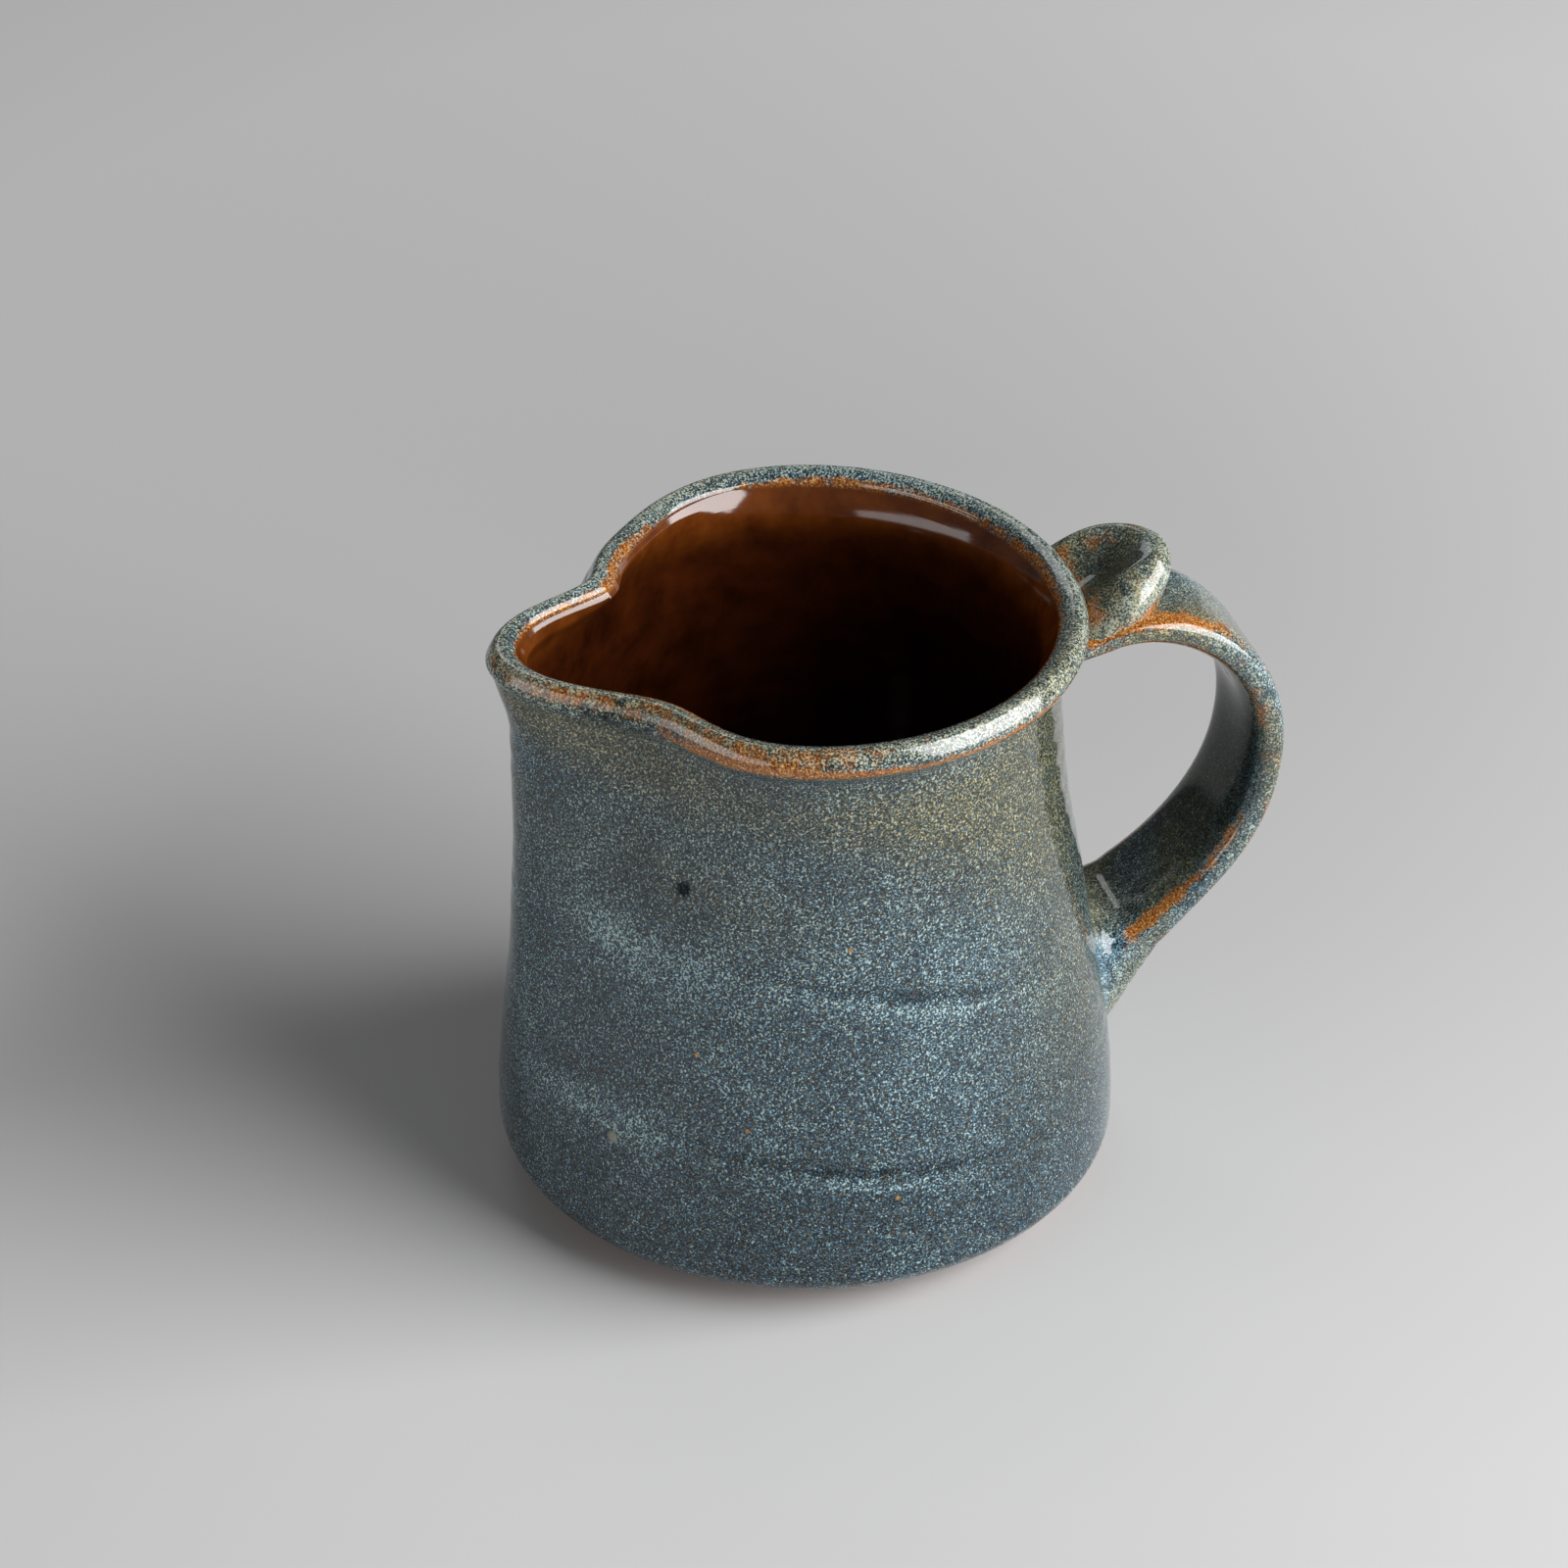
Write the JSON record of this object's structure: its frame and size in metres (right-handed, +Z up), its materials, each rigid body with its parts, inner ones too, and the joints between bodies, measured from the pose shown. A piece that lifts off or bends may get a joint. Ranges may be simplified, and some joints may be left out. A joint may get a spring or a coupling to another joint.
{
  "type": "ceramic pitcher",
  "caption": "Small hand-thrown stoneware pitcher with a pulled pouring spout, a strap handle with a thumb rest, a speckled blue glaze outside and an amber glaze inside.",
  "frame": {"origin": "centre of the flat foot, on the table", "axes": "+X towards the handle, -X towards the spout, +Z up along the axis on which the body was thrown"},
  "size_m": [0.1266, 0.0986, 0.1006],
  "materials": {
    "stoneware_clay": "bare fired reddish-brown stoneware",
    "blue_glaze": "glossy speckled blue-grey glaze that breaks to rust on edges",
    "amber_glaze": "glossy amber-brown liner glaze",
    "glazed_handle": "glossy speckled blue-grey glaze that breaks to rust on edges",
    "clay_slip": "fired slip, hidden in the joints"
  },
  "bodies": {
    "root": {"thrown_body": "stoneware_clay", "outer_glaze": "blue_glaze", "liner_glaze": "amber_glaze", "handle_strap": "glazed_handle", "thumb_rest": "glazed_handle", "upper_slip_bed": "clay_slip", "lower_slip_bed": "clay_slip", "thumb_slip_bed": "clay_slip"}
  },
  "joints": []
}
